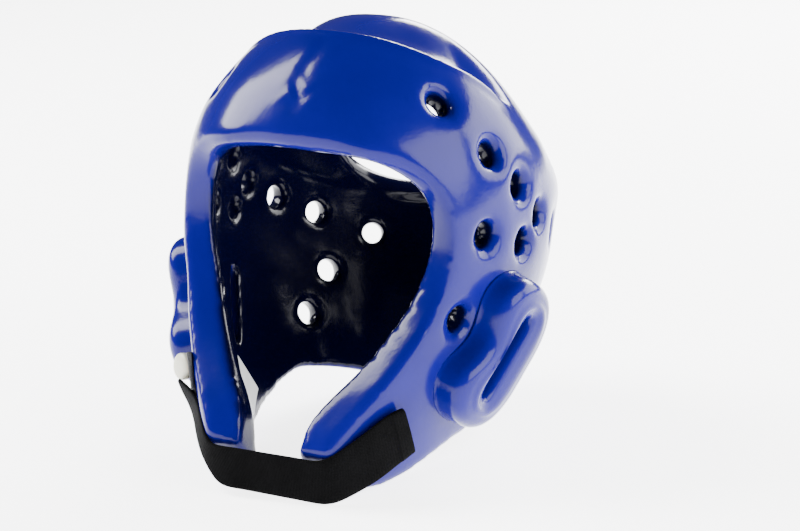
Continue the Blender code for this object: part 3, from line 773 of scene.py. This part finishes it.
def facing(points, normals):
    """Cosine between a normal and the ray from the head's middle: 1 outside, -1 inside."""
    ray = points - (0.0, FRONT_REACH, 0.0)
    ray /= np.linalg.norm(ray, axis=1, keepdims=True)
    return np.einsum("ij,ij->i", ray, normals)


def band_relief(points):
    """A bead along the band's edge, a steep drop behind it and a slow climb to the crest."""
    around, above, far = polar(points)
    edge = np.interp(np.abs(around), BAND_EDGE[:, 0], BAND_EDGE[:, 1])
    loop = crest_point(np.linspace(0, np.pi, 200))
    loop_around, loop_above, _ = polar(loop)
    crest = np.interp(np.abs(around), loop_around, loop_above)
    past = np.radians(above - edge) * far
    span = np.maximum(np.radians(crest - edge) * far, LEAST_SPAN)
    drop = smoothstep(past, 0.0, STEP_RUN) * (1 - smoothstep(past / span, *CLIMB))
    fade = 1 - smoothstep(np.abs(around), *STEP_FADE)
    bead = np.exp(-((past + BEAD_SETBACK) / BEAD_WIDTH) ** 2)
    return fade * (BAND_BEAD * bead - BAND_STEP * drop)


GROOVE_DEPTH, GROOVE_WIDTH, PUCKER_DEPTH, PUCKER_WIDTH = 0.0007, 0.0045, 0.00035, 0.009
SEAM_START, SEAM_END, WRINKLED_AT, WRINKLED_REACH = (0.004, 0.014), (0.046, 0.056), 0.020, 0.009


def seam_relief(points):
    """A shallow groove down the middle of the band, crossed by small puckers."""
    x, z = points[:, 0], points[:, 2]
    wander = x - 0.0015 * np.sin(z / 0.006)
    groove = np.exp(-(wander / GROOVE_WIDTH) ** 2)
    pucker = np.exp(-(x / PUCKER_WIDTH) ** 2) * np.sin(z / 0.0019 + 2.0 * np.sin(x / 0.003))
    along = smoothstep(z, *SEAM_START) * (1 - smoothstep(z, *SEAM_END))
    along *= points[:, 1] < 0.5 * FRONT_REACH
    wrinkled = np.exp(-((z - WRINKLED_AT) / WRINKLED_REACH) ** 2)
    return along * (PUCKER_DEPTH * wrinkled * pucker - GROOVE_DEPTH * groove)


DIMPLE_DEPTH, DIMPLE_REACH = 0.0016, 0.0115


def dimple_relief(points):
    """A shallow bell-shaped dip round every vent, where the dip has drawn the skin in."""
    mouth, _ = vent_frames()
    gap = np.linalg.norm(points[:, None] - mouth[None], axis=2).min(1)
    return -DIMPLE_DEPTH * np.exp(-(gap / DIMPLE_REACH) ** 2)


BORE_DEPTHS, BORE_REACH = (0.0035, 0.0065), 0.011


def bore_painted_shade(points):
    """Painted shade: 1 down inside a vent, where little light comes, 0 elsewhere."""
    mouth, axis = vent_frames()
    away = points[:, None] - mouth[None]
    depth = -np.einsum("ijk,jk->ij", away, axis)
    beside = np.sqrt(np.maximum(np.einsum("ijk,ijk->ij", away, away) - depth ** 2, 0))
    return (smoothstep(depth, *BORE_DEPTHS) * (beside < BORE_REACH) * (depth < 2 * WALL)).max(1)


NICK_HEIGHTS = np.array([-0.074, -0.085, -0.096, -0.105, -0.113])
NICK_DEPTH, NICK_REACH, NICK_INSET, NICK_STRETCH = 0.0009, 0.0013, 0.002, (0.35, 0.35, 1.0)


def nick_relief(points):
    """Small dents along the inner edge of the left bar."""
    rows = FINE_FACE_ROWS
    order = np.argsort(rows[:, 2])
    at = [np.interp(NICK_HEIGHTS / JAW_DROP, rows[order, 2], rows[order, k]) for k in (3, 4)]
    spots = np.stack([FACE_EDGE_HALF_WIDTH * at[0] + NICK_INSET, LIP_SETBACK * at[1],
                      NICK_HEIGHTS], 1)
    gap = np.linalg.norm((points[:, None] - spots[None]) * NICK_STRETCH, axis=2)
    return -NICK_DEPTH * np.exp(-(gap / NICK_REACH) ** 2).sum(1)


SWELL_HEIGHT, SWELL_LENGTH = 0.00035, 0.011


def swell_relief(points):
    """Slow swells of hand-dipped foam: a sum of crossed sine waves."""
    x, y, z = points.T / SWELL_LENGTH
    return SWELL_HEIGHT * (np.sin(0.9 * x + 0.4 * z) * np.sin(0.7 * y - 0.5 * x)
                           + 0.7 * np.sin(0.6 * z + 0.8 * y) * np.sin(0.5 * x + 1.1 * z))


at, normal = read_points(shell.data)
outside = smoothstep(facing(at, normal), *OUTSIDE_LIMITS)
height = outside * (band_relief(at) + seam_relief(at) + dimple_relief(at))
height += nick_relief(at) + swell_relief(at)
write_points(shell.data, at + height[:, None] * normal)
# Painted shade: inner surfaces and vent bores are marked for a near-black base colour that stands in
# for shadow.
painted_shade = shell.data.attributes.new("painted_shade", "FLOAT", "POINT")
inner = smoothstep(-facing(at, normal), *PAINTED_SHADE_LIMITS)
painted_shade.data.foreach_set("value", np.maximum(inner, bore_painted_shade(at)))
settle = shell.modifiers.new("settle", "SMOOTH")
settle.factor, settle.iterations = 0.5, SETTLE_STEPS
baked(shell)
finish_piece(shell, VINYL, "dipped_vinyl", "shell")

# %% [markdown]
# ## Ear pads
# Each pad is a kidney-shaped foam block round a slot. Its skin is one profile carried round the
# outline: a flare where it meets the shell, a rounded shoulder, a gently domed face and a
# funnel down into the slot.

# %% Ear pads
PAD_COLUMNS, PAD_SHOULDER, PAD_FUNNEL, PAD_DOME, PAD_FLARE = 168, 0.0085, 0.0048, 0.0012, 0.0022
HALVINGS, PAD_SUNK, PAD_RELAX_STEPS = 40, 0.0006, 4


def onto_shell(points, axis, sunk):
    """Slide points along an axis, by halving, until they lie just in the outer surface."""
    low, high = np.full(len(points), -0.02), np.full(len(points), 0.09)
    for _ in range(HALVINGS):
        half = 0.5 * (low + high)
        probe = points - half[:, None] * axis
        width, front, back = section_sizes(probe[:, 2])
        ahead = probe[:, 1] < FRONT_REACH
        power = np.where(ahead, FRONT_POWER, BACK_POWER)
        depth = np.abs(probe[:, 1] - FRONT_REACH) / np.where(ahead, front, back)
        inside = (np.abs(probe[:, 0]) / width) ** power + depth ** power < 1
        high, low = np.where(inside, half, high), np.where(inside, low, half)
    return points - (low + sunk)[:, None] * axis


def pad_outline(angle, inset):
    """Kidney: a rounded oblong less a bell-shaped waist on its front and back."""
    up = (0.5 * PAD_HEIGHT - inset) * signed_power(np.cos(angle), PAD_SQUARENESS)
    back = (0.5 * PAD_WIDTH - inset) * signed_power(np.sin(angle), PAD_SQUARENESS)
    waist = np.exp(-(up / PAD_WAIST_REACH) ** 2)
    depth = np.where(back < 0, PAD_FRONT_WAIST, PAD_BACK_WAIST)
    return np.stack([back - np.sign(back) * waist * depth, up], -1)


def ear_pad(name, side):
    """Rings from the pad's foot to the bottom of its slot."""
    middle, back, up, out = pad_frame(side)
    raw = np.linspace(0, 2 * np.pi, 4000, endpoint=False)
    rim = pad_outline(raw, 0.0)
    run = np.concatenate([[0], np.cumsum(np.linalg.norm(np.diff(rim, axis=0), axis=1))])
    angle = np.interp(np.linspace(0, run[-1], PAD_COLUMNS, endpoint=False), run, raw)

    def ring(flat, lift):
        return middle + flat[:, :1] * back + flat[:, 1:] * up + lift * out

    def slot(grow):
        return np.stack(slot_outline(angle, grow), -1)

    foot = onto_shell(ring(pad_outline(angle, 0.0), 0.0), out, PAD_SUNK)
    rows = []
    for share in np.linspace(0, 1, 7)[:-1]:
        flare = PAD_FLARE * (1 - np.sqrt(1 - (1 - share) ** 2))
        grown = onto_shell(ring(pad_outline(angle, -flare), 0.0), out, PAD_SUNK)
        rows.append(grown + 0.004 * share * out)
    rows += [foot * (1 - s) + ring(pad_outline(angle, 0.0), PAD_RISE - PAD_SHOULDER) * s
             for s in (0.45, 0.7, 0.9)]
    for bend in np.linspace(0, 0.5 * np.pi, 9):
        rows.append(ring(pad_outline(angle, PAD_SHOULDER * (1 - np.cos(bend))),
                         PAD_RISE - PAD_SHOULDER * (1 - np.sin(bend))))
    outer, inner = pad_outline(angle, PAD_SHOULDER), slot(PAD_FUNNEL)
    for share in np.linspace(0, 1, 9)[1:-1]:
        rows.append(ring(outer * (1 - share) + inner * share,
                         PAD_RISE + PAD_DOME * np.sin(np.pi * share)))
    for bend in np.linspace(0, 0.5 * np.pi, 8):
        rows.append(ring(slot(PAD_FUNNEL * (1 - np.sin(bend))),
                         PAD_RISE - PAD_FUNNEL * (1 - np.cos(bend))))
    bottom = onto_shell(ring(slot(0.0), 0.0), out, PAD_SUNK)
    rows += [rows[-1] * (1 - s) + bottom * s for s in (0.35, 0.7, 1.0)]
    halfway = 0.5 * (slot(0.0) + pad_outline(angle, -PAD_FLARE))
    rows.append(onto_shell(ring(halfway, 0.0), out, PAD_SUNK))
    made = new_mesh(name, np.concatenate(rows), grid_faces(len(rows), PAD_COLUMNS, True))
    relax = made.modifiers.new("relax", "SMOOTH")
    relax.factor, relax.iterations = 0.5, PAD_RELAX_STEPS
    baked(made)
    point_outwards(made)
    return finish_piece(made, VINYL, "dipped_vinyl", name.replace("foam_", ""))


pads = [ear_pad("foam_ear_pad_left", 1), ear_pad("foam_ear_pad_right", -1)]

# %% [markdown]
# ## The strap
# A flat elastic tape, fixed under the cap on the right cheek, carried round the chin and pressed
# onto the left cheek. Two edge lines carry a rounded cross-section along its whole length.

# %% Strap
STRAP_ROWS = np.array([
    (-48.0, -0.690, -66.0, -0.755), (-46.0, -0.725, -60.0, -0.800),
    (-42.0, -0.765, -49.0, -0.850), (-36.0, -0.812, -35.0, -0.902),
    (-29.0, -0.857, -22.0, -0.958), (29.0, -0.857, 35.0, -0.967),
    (36.0, -0.815, 43.0, -0.940), (43.0, -0.750, 52.0, -0.885),
    (48.6, -0.702, 58.6, -0.837), (53.0, -0.683, 63.8, -0.796),
])
GAP, STRAP_THICKNESS, STRIP_THICKNESS, TAB_THICKNESS = 0.0003, 0.0022, 0.0015, 0.0030
STRAP_BOW, CURL_LIFT, STRAP_CLEARANCE, CHIN_STATIONS = 0.0015, 0.004, 0.0012, 5
RIGHT_ROWS, TAB_OVERLAP_ROWS, FASTENER_ROWS, EDGE_SINK = 5, 2, 3, 0.0024
FOLD_START, FOLD_END, FOLD_THICKENING, STRAP_BULGE = 0.950, 0.956, 0.8, 0.0004
STRAP_REFINE, STRAP_FINE, STRAP_ROUND, STRAP_EASE = 24, 190, 28, 5.0


def strap_edges():
    """The two edges' middle lines: on both cheeks above the shell, straight under the chin."""
    tab_lift = TAB_THICKNESS + 2 * GAP
    fastener_lift = 2 * STRIP_THICKNESS + 3 * GAP
    lift = np.full(len(STRAP_ROWS), STRAP_CLEARANCE)
    lift[:TAB_OVERLAP_ROWS] = tab_lift
    lift[0] += CURL_LIFT
    lift[-FASTENER_ROWS:] = fastener_lift
    lift += 0.5 * STRAP_THICKNESS
    edges = []
    for turn, rise, sink in ((0, 1, EDGE_SINK), (2, 3, 0.0)):
        sunk = lift.copy()
        sunk[1:1 - RIGHT_ROWS] -= sink
        line = on_shell(STRAP_ROWS[:, turn], STRAP_ROWS[:, rise], sunk)
        first, last = line[:RIGHT_ROWS], line[RIGHT_ROWS:]
        share = np.linspace(0, 1, CHIN_STATIONS + 2)[1:-1, None]
        bow = STRAP_BOW * 4 * share * (1 - share) * np.array([0.0, -1.0, 0.0])
        edges.append(np.concatenate([first, first[-1] * (1 - share) + last[0] * share + bow, last]))
    return edges


def evenly(line, count):
    """The same line with points at even steps."""
    run = np.concatenate([[0], np.cumsum(np.linalg.norm(np.diff(line, axis=0), axis=1))])
    spaced = np.linspace(0, run[-1], count)
    return np.stack([np.interp(spaced, run, column) for column in line.T], 1), run[-1]


def tape(name, upper, lower, thickness, look, slot, nodes=(), bulge=0.0, outwards=None):
    """(mid + w half) + t normal, with (w, t) going round a thin rounded oblong."""
    half, middle = 0.5 * (upper - lower), 0.5 * (upper + lower)
    along = np.gradient(middle, axis=0)
    normal = np.cross(along, half)
    normal /= np.linalg.norm(normal, axis=1, keepdims=True)
    ray = middle - np.array([0.0, FRONT_REACH, -0.1]) if outwards is None else outwards
    normal *= np.sign(np.einsum("ij,ij->i", normal, ray + 0 * normal))[:, None]
    angle = np.linspace(0, 2 * np.pi, STRAP_ROUND, endpoint=False)
    w = signed_power(np.cos(angle), 0.25)
    t = signed_power(np.sin(angle), 0.5)
    thick = np.asarray(thickness)[..., None] * np.ones((len(middle), 1))
    lift = 0.5 * thick * t[None] + bulge * (1 - w[None] ** 2)
    points = (middle[:, None] + half[:, None] * w[None, :, None]
              + normal[:, None] * lift[..., None])
    count = len(middle)
    ends = [range(STRAP_ROUND), range((count - 1) * STRAP_ROUND, count * STRAP_ROUND)]
    made = new_mesh(name, points, grid_faces(count, STRAP_ROUND), ends)
    outward(made)
    run = np.concatenate([[0], np.cumsum(np.linalg.norm(np.diff(middle, axis=0), axis=1))])
    across = np.linalg.norm(half, axis=1)[:, None] * w[None]
    table = np.stack([run[:, None] + 0 * across, across], -1).reshape(-1, 2)
    corner = np.empty(len(made.data.loops), int)
    made.data.loops.foreach_get("vertex_index", corner)
    made.data.uv_layers.new(name="tape").data.foreach_set("uv", table[corner].ravel())
    return finish_piece(made, look, slot, *nodes)


upper, lower = (smooth_rows(edge, STRAP_REFINE) for edge in strap_edges())
upper, strap_length = evenly(upper, STRAP_FINE)
lower, _ = evenly(lower, STRAP_FINE)
station = np.linspace(0, 1, STRAP_FINE)
upper, lower = eased(upper, STRAP_EASE), eased(lower, STRAP_EASE)
folded = 1 + FOLD_THICKENING * smoothstep(station, FOLD_START, FOLD_END)
tape("elastic_strap", upper, lower, STRAP_THICKNESS * folded, ELASTIC, "elastic",
     ("chin_strap", "hook_strip", "loop_strip"), bulge=STRAP_BULGE)
print("strap length", round(float(strap_length), 3), "m, width",
      round(float(np.linalg.norm(upper - lower, axis=1).mean()), 3), "m")

# %% [markdown]
# ## Tab, cap and label
# The strap's fixed end sits on a tab of brushed fabric and is held by a cream plastic cap. A
# bare label is stuck inside the right cheek.

# %% Tab
TAB_ROWS = np.array([(-45.0, -0.622, -62.0, -0.628), (-46.0, -0.670, -66.0, -0.695),
                     (-45.0, -0.720, -61.0, -0.765)])
TAB_REFINE, TAB_BULGE, TAB_FILL = 16, 0.0006, 0.9
tab_fine = smooth_rows(TAB_ROWS, TAB_REFINE)
tab_lift = 0.5 * TAB_THICKNESS + GAP
tab_upper = on_shell(tab_fine[:, 0], tab_fine[:, 1], tab_lift + 0 * tab_fine[:, 0])
tab_lower = on_shell(tab_fine[:, 2], tab_fine[:, 3], tab_lift + 0 * tab_fine[:, 0])
tape("fabric_tab", tab_upper, tab_lower, TAB_FILL * TAB_THICKNESS, FABRIC, "tab_fabric",
     ("strap_tab",), bulge=TAB_BULGE)

# %% Cap
RIVET_TURN, RIVET_CLEARANCE, RIVET_RADIUS, RIVET_RISE = -53.0, 0.0021, 0.0075, 0.0035
CAP_SIDES, CAP_LEAN, CAP_FOOT, CAP_LIFT = 64, 50.0, -0.35, 0.0024


def cap_profile(count):
    """Radius and height: a short upright wall and a flat dome, sin and cos of one angle."""
    bend = np.linspace(0, 0.5 * np.pi, count)[:-1]
    dome = np.stack([np.cos(bend) ** 0.6, 0.35 + 0.65 * np.sin(bend)], 1)
    return np.concatenate([[(0.90, CAP_FOOT), (1.0, CAP_FOOT + 0.1), (1.0, 0.25)], dome])


strap_edge = np.interp(-RIVET_TURN, -STRAP_ROWS[0, ::2], STRAP_ROWS[0, 1::2])
rivet_rise = strap_edge + (RIVET_RADIUS + RIVET_CLEARANCE) / JAW_DROP
middle = on_shell(RIVET_TURN, rivet_rise, TAB_THICKNESS + CAP_LIFT)
out = outer_normal(np.radians(RIVET_TURN), rivet_rise)
lean = np.radians(CAP_LEAN)
out = out * np.cos(lean) - np.array([0.0, 1.0, 0.0]) * np.sin(lean)
out /= np.linalg.norm(out)
side, up = side_axes(out)
angle = np.linspace(0, 2 * np.pi, CAP_SIDES, endpoint=False)[:, None]
ring = np.cos(angle) * side + np.sin(angle) * up
profile = cap_profile(16)
cap_points = (middle + RIVET_RADIUS * profile[:, 0, None, None] * ring
              + RIVET_RISE * profile[:, 1, None, None] * out)
ends = [range(CAP_SIDES), range((len(profile) - 1) * CAP_SIDES, len(profile) * CAP_SIDES)]
cap = new_mesh("cream_cap", cap_points, grid_faces(len(profile), CAP_SIDES), ends)
outward(cap)
finish_piece(cap, CREAM, "cap", "strap_rivet")

# %% Label
LABEL_ROWS = np.array([(-66.0, -0.620, -82.0, -0.710), (-60.0, -0.790, -71.0, -0.778)])
LABEL_THICKNESS, LABEL_GAP, LABEL_STATIONS = 0.0006, 0.0006, 24
share = np.linspace(0, 1, LABEL_STATIONS)[:, None]
label_fine = LABEL_ROWS[0] * (1 - share) + LABEL_ROWS[1] * share
label_edges = [section_point(np.radians(label_fine[:, k]), JAW_DROP * label_fine[:, k + 1], 1.0,
                             LABEL_GAP + 0.5 * LABEL_THICKNESS) for k in (0, 2)]
tape("cloth_label", *label_edges, LABEL_THICKNESS, LABEL, "label", ("inner_label",))

# %% [markdown]
# ## Floor and light
# A pale, faintly glowing floor and four large soft lights: one high on the left for the broad
# sheen on the forehead, two low on the right for the pale side and a long one behind for the
# crest. Nothing shines from straight above, so the middle of the forehead stays deep.

# %% Stage
FLOOR_SIZE = 12.0
floor_mesh = bpy.data.meshes.new("floor")
half = FLOOR_SIZE / 2
floor_mesh.from_pydata([(-half, -half, 0), (half, -half, 0), (half, half, 0), (-half, half, 0)],
                       [], [(0, 1, 2, 3)])
floor = bpy.data.objects.new("floor", floor_mesh)
bpy.context.collection.objects.link(floor)
pale, _, _ = new_material("pale_floor", Base_Color=(0.88, 0.88, 0.89, 1.0), Roughness=0.8,
                          Specular_IOR_Level=0.2, Emission_Strength=4.0)
floor_mesh.materials.append(pale)

world = bpy.data.worlds.new("studio")
bpy.context.scene.world = world
world.use_nodes = True
backdrop = world.node_tree.nodes["Background"]
backdrop.inputs["Color"].default_value = (0.9, 0.94, 1.0, 1.0)
backdrop.inputs["Strength"].default_value = 0.12


def soft_light(name, place, target, size, power):
    """A square area light at a place, facing a target."""
    data = bpy.data.lights.new(name, "AREA")
    data.shape, data.size, data.size_y, data.energy = "RECTANGLE", size[0], size[1], power
    made = bpy.data.objects.new(name, data)
    bpy.context.collection.objects.link(made)
    facing = np.array(place, float) - target
    facing /= np.linalg.norm(facing)
    level = np.cross((0.0, 0.0, 1.0), facing)
    level /= np.linalg.norm(level)
    turned = np.eye(4)
    turned[:3, :3] = np.stack([level, np.cross(facing, level), facing], 1)
    turned[:3, 3] = place
    made.matrix_world = Matrix(turned.tolist())
    return made


AIM = np.array([0.0, 0.0, 0.12])
soft_light("left_box", (-1.5, -0.30, 1.30), AIM, (1.0, 1.5), 125.0)
soft_light("right_box", (1.7, -0.2, 0.75), AIM, (1.5, 1.1), 62.0)
soft_light("rear_box", (1.2, 1.3, 0.75), AIM, (1.5, 1.0), 62.0)
soft_light("back_box", (0.0, 1.9, 0.95), AIM, (1.4, 0.5), 80.0)
print("stage and lights are set")
